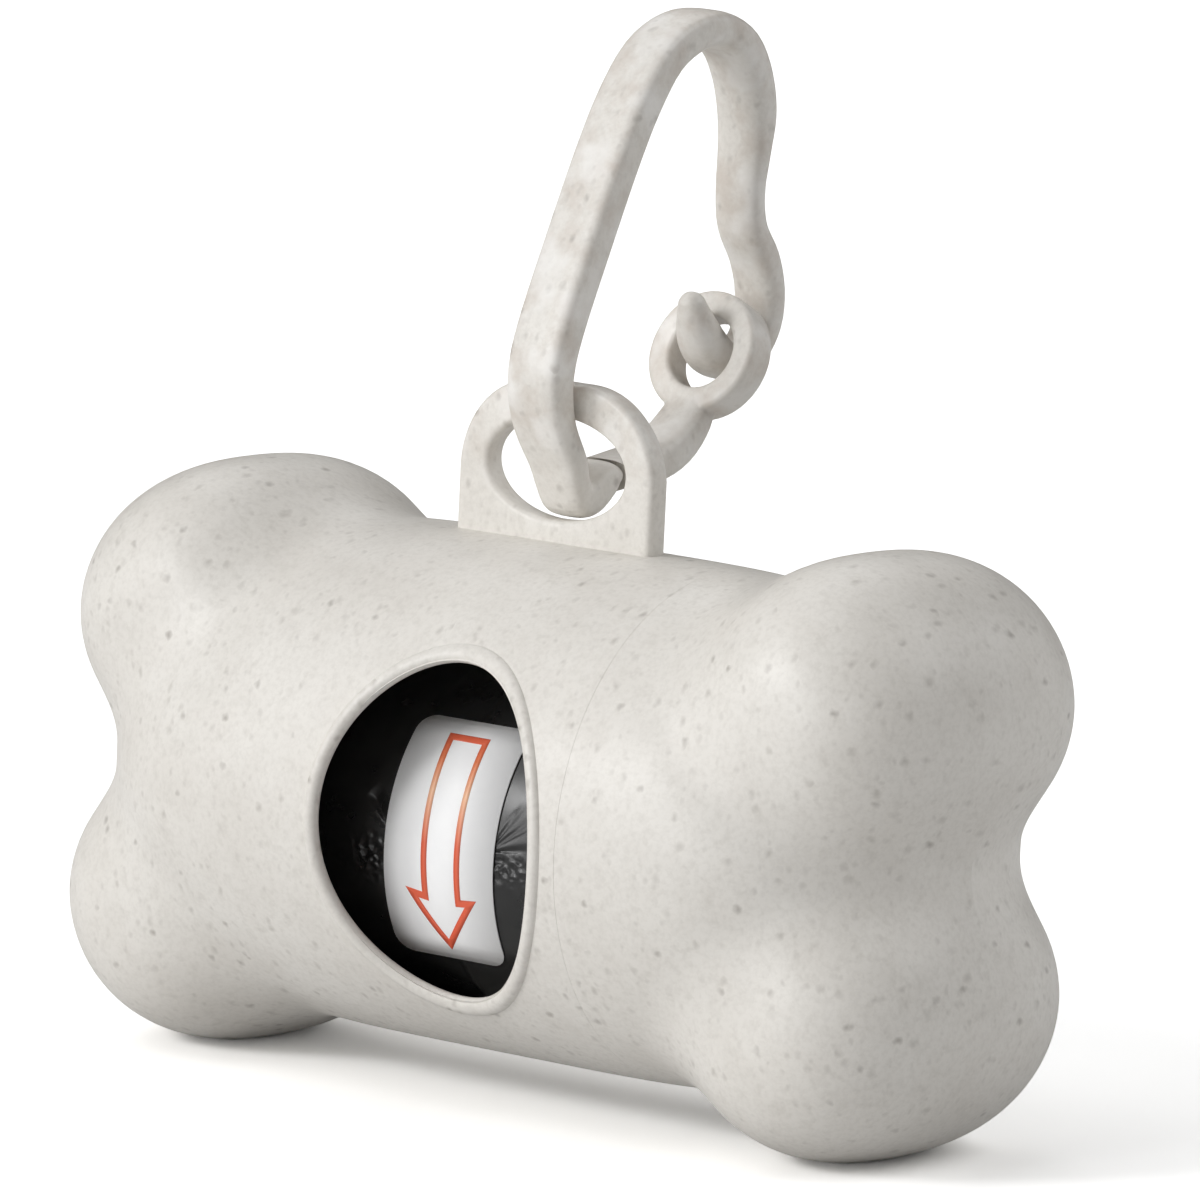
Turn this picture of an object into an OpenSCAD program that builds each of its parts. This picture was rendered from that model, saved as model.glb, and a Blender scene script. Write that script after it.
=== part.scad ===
// Bone-shaped dispenser for rolls of dog waste bags, with a snap clip through its lug.
// Lengths are in millimetres. Z is up, X runs along the bone, and the window faces -Y.
// The origin is on the surface that the bone stands on, below the middle of the overall box.

/* [Bone form] */
// Overall length of the bone
bone_l = 85; // [83:0.5:88]
// Outer radius of the round barrel between the lobes
barrel_r = 20; // [19.8:0.1:20.5]
// Half length of the barrel, whose long domed ends run into the lobes
barrel_hl = 39.3; // [38.5:0.1:40]
// Half size of a lobe along X
lobe_ax = 11.8; // [11:0.1:12.5]
// Half size of a lobe along Y, front to back
lobe_ay = 15.9; // [15.5:0.1:18]
// Half size of a lobe along Z
lobe_az = 12; // [11.8:0.1:12.5]
// Height of a lobe's centre above or below the barrel axis
lobe_z = 11.1; // [10.5:0.1:12]
// Blend width between an upper lobe and the lower one
lobe_blend = 2; // [1.5:0.1:5]
// Blend width between barrel and lobes on the crest of the bone
crest_blend = 4; // [2.5:0.1:5]
// Blend width between barrel and lobes at the front and back
side_blend = 2.5; // [2:0.1:5]

/* [Window] */
// Half width of the oval window along X
window_a = 10.3; // [8:0.1:11]
// Half height of the oval window
window_b = 12.8; // [9:0.1:13.5]
// Place of the window's centre along X
window_x = 2.7; // [0:0.1:3]
// Height of the window's centre above the barrel axis
window_z = -0.6; // [-1:0.1:1]
// Radius of the rolled bead around the window
bead_r = 0.75; // [0.5:0.05:0.9]

/* [Shell and cap] */
// Radius of the bore that the roll lies in
bore_r = 17.5; // [17.2:0.1:17.6]
// Place of the seam between shell and cap along X
seam_x = 15.5; // [15:0.1:17]
// Length of the neck that enters the cap
neck_l = 5; // [4.5:0.1:5.2]
// Outer radius of the neck
neck_r = 18.3; // [18.2:0.05:18.4]
// Radial clearance between the neck and the cap's socket
neck_gap = 0.06; // [0.03:0.01:0.1]
// Height of the two bayonet studs on the neck
stud_h = 0.55; // [0.4:0.05:0.6]
// Twist in degrees that frees the cap
twist = 40; // [30:1:50]
// Depth of the flats that the lower lobes stand on
foot_cut = 0.2; // [0.15:0.05:0.5]

/* [Lug] */
// Width of the lug
lug_w = 19.2; // [18:0.1:20]
// Height of the lug's top above the barrel axis
lug_top = 32.3; // [31.5:0.1:33]
// Radius of the lug's top corners
lug_corner = 7.4; // [6:0.1:8]
// Thickness of the lug
lug_t = 2.2; // [1.8:0.1:2.6]
// Half width of the oval eye
eye_a = 6.8; // [6:0.1:7]
// Half height of the oval eye
eye_b = 4; // [3.9:0.05:4.1]
// Place of the lug and its eye along X
lug_x = -1.4; // [-2:0.1:0]

/* [Clip] */
// Width of the clip's bar across its plane
bar_w = 4.4; // [4:0.1:4.6]
// Thickness of the bar in the clip's plane
bar_t = 2.7; // [2.4:0.05:2.8]
// Outer radius of the ring at the end of the gate
ring_r = 4.8; // [4.6:0.1:5]
// Radius of the hole in the ring
ring_hole = 2.95; // [2.8:0.05:3.1]
// Depth of the ring along its axis
ring_t = 2.3; // [2:0.1:2.4]
// Backward tilt of the ring in degrees
ring_tilt = 23.5; // [20:0.5:27]

/* [Bag roll] */
// Radius of the wound roll of bags
roll_r = 14.2; // [13:0.1:14.3]
// Length of the roll, which is the width of a folded bag
roll_l = 52.5; // [46:0.5:52.5]
// Outer radius of the card core
core_r = 6.5; // [5:0.1:8]
// Wall of the card core
core_t = 0.9; // [0.6:0.1:1.2]
// Width of the paper label along X
label_w = 10.8; // [8:0.1:12]
// Thickness of the label
label_t = 0.12; // [0.1:0.01:0.15]

/* [Hidden] */
straw = [0.87, 0.85, 0.81];
film_black = [0.05, 0.05, 0.05];
card_brown = [0.62, 0.50, 0.36];
label_white = [0.96, 0.96, 0.95];

// Exponents of the form: 2 is an ellipse, and more is squarer
barrel_n = 4.9;
dome_n = 1.7;
lobe_n = 1.96;
lobe_side_n = 2.46;
// How strongly height above or below the barrel's axis holds the side blend back
blend_hold = 3.5;
tiny = 1e-6;
lobe_x = bone_l / 2 - lobe_ax;

// The surface is found along rays that start on the barrel's axis, spread over ray_base
ray_base = 20;
ray_reach = 36;
ray_steps = 13;
rows = 46;
cols = 60;

// The lowest point of a lobe is where its own form ends, and the foot is cut above it
rest_z = lobe_z + lobe_az - foot_cut;
// Front and back reach of the whole, which put the origin in the middle of the box
axis_y = -2.13;
lug_mid_z = 25.65;
round_steps = 3;
edge_r = 0.45;
slack = 0.05;
stud_x = seam_x + 2.4;
stud_l = 1.4;
stud_half = 4;

// Roll and its label
roll_z = -(bore_r - roll_r - 0.15);
pocket_r = 16.4;
pocket_x = 28;
bore_x = 23.5;
cap_bore_x = 25.5;
roll_x = 0.5 - pocket_x;
label_x = -5.7;
label_low = -34;
label_high = 45;

// Turning point of the gate in the clip's plane, as [y, z] from the barrel axis
gate_pivot = [4.0, 24.7];
knuckle_r = 1.35;
knuckle_gap = 0.1;

// Centre line of the clip's fixed part from the knuckle to the hook, each as
// [y, z, width across the plane, thickness in the plane]
frame_line = [
    [4.0, 24.7, 4.4, 2.6], [2.3, 23.7, 4.3, 2.5], [0.9, 23.55, 4.1, 2.5], [0.05, 24.5, 4.2, 2.3],
    [-0.7, 26.2, 4.3, 2.4], [-2.3, 28.8, 4.4, 2.6], [-3.05, 31.4, 4.4, 2.7], [-3.05, 34.0, 4.4, 2.7],
    [-1.9, 37.3, 4.4, 2.7], [0.5, 43.2, 4.4, 2.7], [3.3, 49.3, 4.4, 2.7], [5.9, 53.6, 4.4, 2.7],
    [8.9, 56.9, 4.4, 2.6], [12.3, 58.9, 4.3, 2.5], [15.5, 59.2, 4.2, 2.4], [18.1, 57.6, 4.0, 2.5],
    [19.8, 54.9, 3.9, 2.7], [20.4, 52.0, 3.8, 2.6], [20.3, 49.0, 3.7, 2.2], [20.25, 46.0, 3.7, 2.1],
    [20.9, 43.2, 3.7, 2.3], [22.5, 40.6, 3.7, 2.5], [23.6, 38.0, 3.7, 2.4], [23.4, 35.4, 3.6, 2.3],
    [21.9, 33.4, 3.5, 2.3], [19.8, 32.7, 3.3, 2.4], [18.0, 33.0, 3.2, 2.6], [16.55, 34.1, 2.9, 2.8],
    [15.5, 35.6, 2.6, 2.8], [14.8, 37.2, 2.1, 2.1]];

// Centre line of the gate from the knuckle to the ring
gate_line = [
    [4.0, 24.7, 4.4, 2.6], [6.6, 25.1, 4.4, 2.5], [9.4, 25.6, 4.4, 2.5],
    [12.0, 26.9, 4.3, 2.4], [13.9, 28.9, 4.0, 2.4], [15.3, 30.9, 3.4, 1.6]];
ring_at = [17.45, 33.15];
line_steps = 3;

function smooth_union(a, b, k) =
    let (h = max(0, min(1, 0.5 + 0.5 * (b - a) / k))) b * (1 - h) + a * h - k * h * (1 - h);

// Signed distance, nearly, from a round bar along X with domed ends
function barrel_gap(x, r) =
    let (u = abs(x) / barrel_hl + tiny, v = r / barrel_r + tiny, m = barrel_n, n = dome_n,
         power = (m + n) / 2,
         fill = pow(u, m) + pow(v, n),
         g = norm([m * pow(u, m - 1) / barrel_hl, n * pow(v, n - 1) / barrel_r])
             * pow(fill, 1 / power - 1) / power)
    (pow(fill, 1 / power) - 1) / g;

// Signed distance, nearly, from one lobe about its own centre
function lobe_gap(x, y, z) =
    let (u = abs(x) / lobe_ax, v = abs(y) / lobe_ay, w = abs(z) / lobe_az, n = lobe_n, q = lobe_side_n,
         e = pow(pow(u, n) + pow(w, n), 1 / n) + tiny,
         k = pow(pow(e, q) + pow(v, q), 1 / q) + tiny,
         s = pow(e / k, q - 1),
         g = norm([s * pow(u / e, n - 1) / lobe_ax, s * pow(w / e, n - 1) / lobe_az,
                   pow(v / k, q - 1) / lobe_ay]) + tiny)
    (k - 1) / g;

function bone_gap(x, y, z) =
    let (end = abs(x) - lobe_x,
         lobes = smooth_union(lobe_gap(end, y, z - lobe_z), lobe_gap(end, y, z + lobe_z), lobe_blend),
         aside = abs(y) / sqrt(y * y + blend_hold * z * z + 1),
         blend = crest_blend + (side_blend - crest_blend) * aside)
    smooth_union(lobes, barrel_gap(x, norm([y, z])), blend);

function ray_point(u, t) = [(ray_base + t) * u[0], t * u[1], t * u[2]];

// Halving between t0 inside and t1 outside finds the surface along a ray
function reach(u, t0, t1, left) =
    let (t = (t0 + t1) / 2, p = ray_point(u, t))
    left == 0 ? p
    : bone_gap(p[0], p[1], p[2]) < 0 ? reach(u, t, t1, left - 1) : reach(u, t0, t, left - 1);

// Rows lie closest over the lobes and furthest apart over the straight barrel
function ray_row(i) = let (a = 180 * i / rows) a - 12 * sin(2 * a) + 5 * sin(4 * a);

function bone_point(i, j) =
    let (a = ray_row(i), b = 360 * j / cols)
    reach([cos(a), sin(a) * cos(b), sin(a) * sin(b)], 4, ray_reach, ray_steps);

// Rows of a closed sweep, joined by triangles, with its two ends closed by fans
function band(i, j, n) =
    let (a = i * n + j, b = i * n + (j + 1) % n, c = a + n, d = b + n) [[a, b, d], [a, d, c]];

module bone_solid() {
    points = concat(
        [for (i = [1 : rows - 1]) for (j = [0 : cols - 1]) bone_point(i, j)],
        [bone_point(0, 0), bone_point(rows, 0)]);
    last = (rows - 1) * cols;
    faces = concat(
        [for (i = [0 : rows - 3]) for (j = [0 : cols - 1]) for (f = band(i, j, cols)) f],
        [for (j = [0 : cols - 1]) [last, (j + 1) % cols, j]],
        [for (j = [0 : cols - 1]) [last + 1, (rows - 2) * cols + j, (rows - 2) * cols + (j + 1) % cols]]);
    polyhedron(points, faces, convexity = 6);
}

// Solid through closed outlines of equal length, the first and last closed flat
module loft(outlines) {
    n = len(outlines[0]);
    m = len(outlines);
    points = [for (o = outlines) for (p = o) p];
    faces = concat(
        [for (i = [0 : m - 2]) for (j = [0 : n - 1]) for (f = band(i, j, n)) f],
        [[for (j = [0 : n - 1]) n - 1 - j]],
        [[for (j = [0 : n - 1]) (m - 1) * n + j]]);
    polyhedron(points, faces, convexity = 6);
}

module lying(length, radius, from_x) {
    translate([from_x, 0, 0]) rotate([0, 90, 0]) cylinder(h = length, r = radius, $fn = 60);
}

// Space for the roll: a bore about the barrel's axis, which ends in the cap, and a lower pocket
// in the closed end, where the bone is slimmer
module roll_space() {
    lying(bore_x + cap_bore_x, bore_r, -bore_x);
    translate([0, 0, pocket_r - bore_r]) lying(pocket_x, pocket_r, -pocket_x);
}

module feet_cut() {
    translate([0, 0, -rest_z - 10]) cube([2 * bone_l, 4 * barrel_r, 20], center = true);
}

function window_edge(a, out) = [
    window_x + (window_a + out) * cos(a),
    window_z + (window_b + out) * sin(a)];

module window_cut() {
    rotate([90, 0, 0])
        linear_extrude(2 * barrel_r) polygon([for (i = [0 : 59]) window_edge(6 * i, 0)]);
}

// Rolled bead that lies on the barrel around the window
module window_bead() {
    n = 60;
    k = 8;
    function mid(a) =
        let (e = window_edge(a, bead_r * 0.8)) [e[0], -sqrt(pow(barrel_r - 0.15, 2) - e[1] * e[1]), e[1]];
    function ring(a) =
        let (p = mid(a), d = mid(a + 1) - mid(a - 1), t = d / norm(d),
             up = [0, p[1], p[2]] / norm([0, p[1], p[2]]),
             s = cross(t, up), side = s / norm(s), lift = cross(side, t))
        [for (j = [0 : k - 1]) p + bead_r * (cos(360 * j / k) * side + sin(360 * j / k) * lift)];
    points = [for (i = [0 : n - 1]) for (p = ring(360 * i / n)) p];
    faces = [for (i = [0 : n - 1]) for (j = [0 : k - 1])
        let (a = i * k + j, b = i * k + (j + 1) % k, c = ((i + 1) % n) * k + j, d = ((i + 1) % n) * k + (j + 1) % k)
        for (f = [[a, d, b], [a, c, d]]) f];
    polyhedron(points, faces, convexity = 6);
}

// Rounding of a plate's edge: inset of the outline and place through the thickness
function edge_step(i) =
    let (a = 90 * (i % (round_steps + 1)) / round_steps, far = i > round_steps)
    far ? [edge_r * (1 - cos(a)), lug_t / 2 - edge_r * (1 - sin(a))]
    : [edge_r * (1 - sin(a)), -lug_t / 2 + edge_r * (1 - cos(a))];

function lug_outline(inset, y) =
    let (w = lug_w / 2 - inset, r = lug_corner - inset, top = lug_top - inset)
    concat(
        [[lug_x + w, y, barrel_r - 1.2]],
        [for (a = [0 : 10 : 90]) [lug_x + w - r + r * cos(a), y, top - r + r * sin(a)]],
        [for (a = [90 : 10 : 180]) [lug_x - w + r + r * cos(a), y, top - r + r * sin(a)]],
        [[lug_x - w, y, barrel_r - 1.2]]);

function eye_outline(grow, y) = [for (i = [0 : 39])
    [lug_x + (eye_a + grow) * cos(9 * i), y, lug_mid_z + (eye_b + grow) * sin(9 * i)]];

module lug() {
    levels = 2 * round_steps + 1;
    difference() {
        loft([for (i = [0 : levels]) let (s = edge_step(i)) lug_outline(s[0], s[1])]);
        loft(concat(
            [eye_outline(edge_r, -lug_t)],
            [for (i = [0 : levels]) let (s = edge_step(i)) eye_outline(s[0], s[1])],
            [eye_outline(edge_r, lug_t)]));
    }
}

// Part of a ring about the barrel's axis, from angle a0 to a1, where 0 is down and 90 is the back
module arc(r0, r1, x0, x1, a0, a1) {
    translate([x0, 0, 0]) rotate([0, 90, 0]) rotate([0, 0, a0])
        rotate_extrude(angle = a1 - a0, $fn = 60) translate([r0, 0]) square([r1 - r0, x1 - x0]);
}

// Neck on the shell, with two studs that lock the cap
module neck() {
    difference() {
        lying(neck_l + 2, neck_r, seam_x - 2);
        lying(neck_l + 6, bore_r, seam_x - 4);
    }
    for (a = [90, 270])
        arc(neck_r - 0.3, neck_r + stud_h, stud_x, stud_x + stud_l, a - stud_half, a + stud_half);
}

// Way in for each stud, and the channel that it runs along as the cap twists shut
module stud_ways() {
    top = neck_r + stud_h + 0.1;
    low = twist + stud_half;
    for (a = [90, 270]) {
        arc(neck_r - 1, top, stud_x - 0.1, stud_x + stud_l + 0.1, a - low - 0.4, a + stud_half + 0.3);
        arc(neck_r - 1, top, seam_x - 1, stud_x + 1, a - low - 0.4, a - low + 2 * stud_half + 0.4);
    }
}

module body_shell() {
    color(straw) difference() {
        union() {
            difference() {
                intersection() {
                    bone_solid();
                    translate([seam_x - 2 * bone_l, -2 * barrel_r, -2 * barrel_r])
                        cube([2 * bone_l, 4 * barrel_r, 4 * barrel_r]);
                }
                roll_space();
                window_cut();
            }
            window_bead();
            lug();
            neck();
        }
        feet_cut();
    }
}

module end_cap() {
    color(straw) difference() {
        intersection() {
            bone_solid();
            translate([seam_x + slack, -2 * barrel_r, -2 * barrel_r])
                cube([bone_l, 4 * barrel_r, 4 * barrel_r]);
        }
        roll_space();
        lying(neck_l + slack + 1, neck_r + neck_gap, seam_x - 1);
        stud_ways();
        feet_cut();
    }
}

// Smooth curve through the points of a line, as a Catmull-Rom stretch between each two
function curve_at(line, i, s) =
    let (n = len(line) - 1, a = line[max(0, i - 1)], b = line[i], c = line[min(n, i + 1)],
         d = line[min(n, i + 2)])
    0.5 * (2 * b + (c - a) * s + (2 * a - 5 * b + 4 * c - d) * s * s
           + (3 * b - a - 3 * c + d) * s * s * s);

function curve(line) = concat(
    [for (i = [0 : len(line) - 2]) for (k = [0 : line_steps - 1]) curve_at(line, i, k / line_steps)],
    [line[len(line) - 1]]);

// One quarter of the bar's rounded section, turned by q quarter turns
function bar_corner(w, t, r, q) =
    let (sx = q == 0 || q == 3 ? 1 : -1, sy = q < 2 ? 1 : -1)
    [for (a = [10, 45, 80]) let (b = a + 90 * q)
        [sx * (w / 2 - r) + r * cos(b), sy * (t / 2 - r) + r * sin(b)]];

function bar_section(p, dir, shrink) =
    let (w = p[2] * shrink * bar_w / 4.4, t = p[3] * shrink * bar_t / 2.7,
         r = 0.36 * min(w, t), across = [-dir[1], dir[0]])
    [for (q = [0 : 3]) for (c = bar_corner(w, t, r, q))
        [lug_x + c[0], p[0] + across[0] * c[1], p[1] + across[1] * c[1]]];

function heading(path, i) =
    let (a = path[max(0, i - 1)], b = path[min(len(path) - 1, i + 1)], d = [b[0] - a[0], b[1] - a[1]])
    d / norm(d);

// Bar swept along a line in the clip's plane, with a domed far end where tip is above 0
module bar(line, tip) {
    path = curve(line);
    n = len(path) - 1;
    d = heading(path, n);
    dome = tip == 0 ? [] : [for (a = [30, 60, 80])
        bar_section([path[n][0] + d[0] * tip * sin(a), path[n][1] + d[1] * tip * sin(a),
                     path[n][2], path[n][3]], d, cos(a))];
    loft(concat([for (i = [0 : n]) bar_section(path[i], heading(path, i), 1)], dome));
}

module knuckle(radius, width) {
    translate([lug_x - width / 2, gate_pivot[0], gate_pivot[1]])
        rotate([0, 90, 0]) cylinder(h = width, r = radius, $fn = 48);
}

module clip_frame() {
    color(straw) union() {
        bar(frame_line, 1.3);
        knuckle(knuckle_r, bar_w);
    }
}

// Section of the ring with rounded edges, from its hole to its rim
function ring_section() =
    let (r = 0.6, h = ring_t / 2)
    [for (q = [0 : 3]) for (a = [0, 30, 60, 90])
        let (x = q == 0 || q == 3 ? ring_r - r : ring_hole + r, y = q < 2 ? h - r : r - h)
        [x + r * cos(a + 90 * q), y + r * sin(a + 90 * q)]];

module ring() {
    translate([lug_x, ring_at[0], ring_at[1]]) rotate([90 - ring_tilt, 0, 0])
        rotate_extrude($fn = 72) polygon(ring_section());
}

module clip_gate() {
    color(straw) difference() {
        union() {
            bar(gate_line, 0);
            ring();
        }
        knuckle(knuckle_r + knuckle_gap, 2 * bar_w);
        translate([lug_x, ring_at[0], ring_at[1]]) rotate([90 - ring_tilt, 0, 0])
            cylinder(h = 2 * ring_t, r = ring_hole + 0.15, center = true, $fn = 72);
    }
}

module bag_roll() {
    soft = 1.2;
    color(film_black) translate([roll_x, 0, roll_z]) rotate([0, 90, 0])
        rotate_extrude($fn = 96) polygon(concat(
            [[core_r, 0], [roll_r - soft, 0]],
            [for (a = [-60, -30, 0]) [roll_r - soft + soft * cos(a), soft + soft * sin(a)]],
            [for (a = [0, 30, 60]) [roll_r - soft + soft * cos(a), roll_l - soft + soft * sin(a)]],
            [[roll_r - soft, roll_l], [core_r, roll_l]]));
}

module roll_core() {
    color(card_brown) translate([0, 0, roll_z]) difference() {
        lying(roll_l, core_r, roll_x);
        lying(roll_l + 2, core_r - core_t, roll_x - 1);
    }
}

module roll_label() {
    color(label_white) translate([label_x, 0, roll_z]) rotate([0, 90, 0])
        rotate([0, 0, -90 - label_high])
            rotate_extrude(angle = label_high - label_low, $fn = 120)
                translate([roll_r, 0]) square([label_t, label_w]);
}

// Everything is drawn about the barrel's axis, and stands on its feet here
module stand() {
    translate([0, axis_y, rest_z]) children();
}

stand() body_shell();
stand() end_cap();
stand() clip_frame();
stand() clip_gate();
stand() bag_roll();
stand() roll_core();
stand() roll_label();
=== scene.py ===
import math

import bmesh
import bpy
import numpy as np
from mathutils import Matrix, Vector, noise


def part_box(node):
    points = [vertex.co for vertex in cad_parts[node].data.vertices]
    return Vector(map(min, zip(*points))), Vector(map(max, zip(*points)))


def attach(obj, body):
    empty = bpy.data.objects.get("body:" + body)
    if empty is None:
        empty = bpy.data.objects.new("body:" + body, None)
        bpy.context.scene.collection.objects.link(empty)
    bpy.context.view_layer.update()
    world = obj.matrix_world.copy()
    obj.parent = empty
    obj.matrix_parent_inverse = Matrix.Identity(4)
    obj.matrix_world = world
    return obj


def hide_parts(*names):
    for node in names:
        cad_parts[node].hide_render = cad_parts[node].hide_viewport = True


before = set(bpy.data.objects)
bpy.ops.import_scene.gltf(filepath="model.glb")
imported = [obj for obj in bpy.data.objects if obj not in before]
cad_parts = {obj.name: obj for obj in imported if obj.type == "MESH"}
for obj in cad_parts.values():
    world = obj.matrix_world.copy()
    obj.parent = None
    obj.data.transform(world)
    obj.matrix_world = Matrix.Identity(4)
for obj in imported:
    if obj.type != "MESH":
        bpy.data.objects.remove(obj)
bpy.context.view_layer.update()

# The shell is injection moulded from plastic filled with ground straw: a round barrel with two
# lobes at its closed end, a window with a rolled rim in its front, and a flat lug on top. Its
# open end has a thin neck that the cap turns on.
MM = 0.001
BARREL_R = 20.0 * MM
BARREL_HALF = 39.3 * MM
BARREL_POWER = 4.9
DOME_POWER = 1.7
LOBE_HALF = Vector((11.8, 15.9, 12.0)) * MM
LOBE_AT = Vector((30.697, 0.0, 11.1)) * MM
LOBE_POWER = 1.96
LOBE_SIDE_POWER = 2.46
LOBE_BLEND = 2.0 * MM
CREST_BLEND = 4.0 * MM
SIDE_BLEND = 2.5 * MM
BLEND_HOLD = 3.5
BONE_ROUND = 240
BONE_ALONG = 320
CROWD = (0.20, 0.08)
BONE_REACH = 40.0 * MM
RAY_BASE = 20.0 * MM
HALVINGS = 26

SEAM_X = 15.5 * MM
SEAM_GAP = 0.02 * MM
BORE_R = 17.5 * MM
BORE_END = 23.5 * MM
CAP_BORE_END = 25.5 * MM
POCKET_R = 16.4 * MM
POCKET_END = 28.0 * MM
NECK_R = 18.3 * MM
NECK_LENGTH = 5.0 * MM
STUD_HEIGHT = 0.55 * MM
STUD_X = SEAM_X + 2.4 * MM
STUD_LENGTH = 1.4 * MM
TWIST = math.radians(40)
STUD_HALF = math.radians(4)
BORE_SEGMENTS = 192
WAY_SEGMENTS = 16
LUG_TOP = 32.3 * MM

# The barrel's axis, from the feet that the shell stands on in the frame
shell_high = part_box("body_shell")[1]
core_low, core_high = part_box("roll_core")
AXIS = Vector((0.0, (core_low.y + core_high.y) / 2, shell_high.z - LUG_TOP))


def smooth_union(a, b, width):
    share = np.clip(0.5 + 0.5 * (b - a) / width, 0, 1)
    return b * (1 - share) + a * share - width * share * (1 - share)


def barrel_gap(x, r):
    """About how far a point is outside the barrel, from its place along and its distance out."""
    u, v, m, n = np.abs(x) / BARREL_HALF + 1e-9, r / BARREL_R + 1e-9, BARREL_POWER, DOME_POWER
    power = (m + n) / 2
    fill = u**m + v**n
    slope = np.hypot(m * u ** (m - 1) / BARREL_HALF, n * v ** (n - 1) / BARREL_R) * fill ** (1 / power - 1) / power
    return (fill ** (1 / power) - 1) / slope


def lobe_gap(x, y, z):
    """About how far a point is outside a lobe, from the lobe's own centre."""
    u, v, w = np.abs(x) / LOBE_HALF.x, np.abs(y) / LOBE_HALF.y, np.abs(z) / LOBE_HALF.z
    n, q = LOBE_POWER, LOBE_SIDE_POWER
    across = (u**n + w**n) ** (1 / n) + 1e-9
    size = (across**q + v**q) ** (1 / q) + 1e-9
    share = (across / size) ** (q - 1)
    slope = np.sqrt(
        (share * (u / across) ** (n - 1) / LOBE_HALF.x) ** 2
        + (share * (w / across) ** (n - 1) / LOBE_HALF.z) ** 2
        + ((v / size) ** (q - 1) / LOBE_HALF.y) ** 2
    )
    return (size - 1) / (slope + 1e-9)


def bone_gap(x, y, z):
    """About how far a point is outside the whole bone. The blend's width changes from crest to sides."""
    end = np.abs(x) - LOBE_AT.x
    lobes = smooth_union(lobe_gap(end, y, z - LOBE_AT.z), lobe_gap(end, y, z + LOBE_AT.z), LOBE_BLEND)
    aside = np.abs(y) / np.sqrt(y * y + BLEND_HOLD * z * z + MM * MM)
    blend = CREST_BLEND + (SIDE_BLEND - CREST_BLEND) * aside
    return smooth_union(lobes, barrel_gap(x, np.hypot(y, z)), blend)


def onto_bone(bm):
    """Moves a unit ball's points out along rays from the barrel's axis until they lie on the bone."""
    rays = np.array([v.co.normalized() for v in bm.verts])
    low, high = np.zeros(len(rays)), np.full(len(rays), BONE_REACH)
    for _ in range(HALVINGS):
        reach = (low + high) / 2
        place = rays * reach[:, None]
        place[:, 0] += RAY_BASE * rays[:, 0]
        inside = bone_gap(*place.T) < 0
        low, high = np.where(inside, reach, low), np.where(inside, high, reach)
    for vert, spot in zip(bm.verts, place):
        vert.co = AXIS + Vector(spot)


def finish_mesh(bm, name, sharp=35):
    """A piece's object from its bmesh, smooth but for edges sharper than the angle in degrees."""
    mesh = bpy.data.meshes.new(name)
    bm.to_mesh(mesh)
    bm.free()
    mesh.polygons.foreach_set("use_smooth", [True] * len(mesh.polygons))
    mesh.set_sharp_from_angle(angle=math.radians(sharp))
    piece = bpy.data.objects.new(name, mesh)
    bpy.context.scene.collection.objects.link(piece)
    return piece


def cut(piece, tool, operation="DIFFERENCE"):
    """Cuts a closed tool out of a piece, or moulds it on, and leaves the result in the piece's own mesh."""
    step = piece.modifiers.new("cut", "BOOLEAN")
    step.operation, step.object, step.solver = operation, tool, "MANIFOLD"
    shaped = piece.evaluated_get(bpy.context.evaluated_depsgraph_get())
    mesh = bpy.data.meshes.new_from_object(shaped)
    piece.modifiers.clear()
    old, piece.data = piece.data, mesh
    mesh.name = piece.name
    bpy.data.meshes.remove(old)
    bpy.data.meshes.remove(tool.data)


def settle(piece, sharp=35):
    """Smooths a piece once its cuts are made."""
    piece.data.polygons.foreach_set("use_smooth", [True] * len(piece.data.polygons))
    piece.data.set_sharp_from_angle(angle=math.radians(sharp))
    return piece


def bone(name):
    """The bone's skin, a ball whose rings are crowded towards the lobes and then moved out to the form."""
    bm = bmesh.new()
    bmesh.ops.create_uvsphere(bm, u_segments=BONE_ROUND, v_segments=BONE_ALONG, radius=1)
    bmesh.ops.rotate(bm, verts=bm.verts, matrix=Matrix.Rotation(math.pi / 2, 3, "Y"))
    for vert in bm.verts:
        around = vert.co.normalized()
        lean = math.acos(max(-1, min(1, around.x)))
        even = lean - CROWD[0] * math.sin(2 * lean) + CROWD[1] * math.sin(4 * lean)
        side = math.hypot(around.y, around.z) or 1
        out = math.sin(even) / side
        vert.co = (math.cos(even), around.y * out, around.z * out)
    onto_bone(bm)
    return finish_mesh(bm, name)


def lying(radius, low_x, high_x, drop=0.0):
    """A round bar along the barrel, to cut with."""
    bm = bmesh.new()
    bmesh.ops.create_cone(
        bm, cap_ends=True, segments=BORE_SEGMENTS, radius1=radius, radius2=radius, depth=high_x - low_x
    )
    bmesh.ops.rotate(bm, verts=bm.verts, matrix=Matrix.Rotation(math.pi / 2, 3, "Y"))
    bmesh.ops.translate(bm, verts=bm.verts, vec=AXIS + Vector(((low_x + high_x) / 2, 0, -drop)))
    return finish_mesh(bm, "tool")


def block(low, high):
    """A plain block between two corners, to cut with."""
    bm = bmesh.new()
    bmesh.ops.create_cube(bm, size=1)
    low, high = Vector(low), Vector(high)
    bmesh.ops.scale(bm, verts=bm.verts, vec=high - low)
    bmesh.ops.translate(bm, verts=bm.verts, vec=(low + high) / 2)
    return finish_mesh(bm, "tool")


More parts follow.
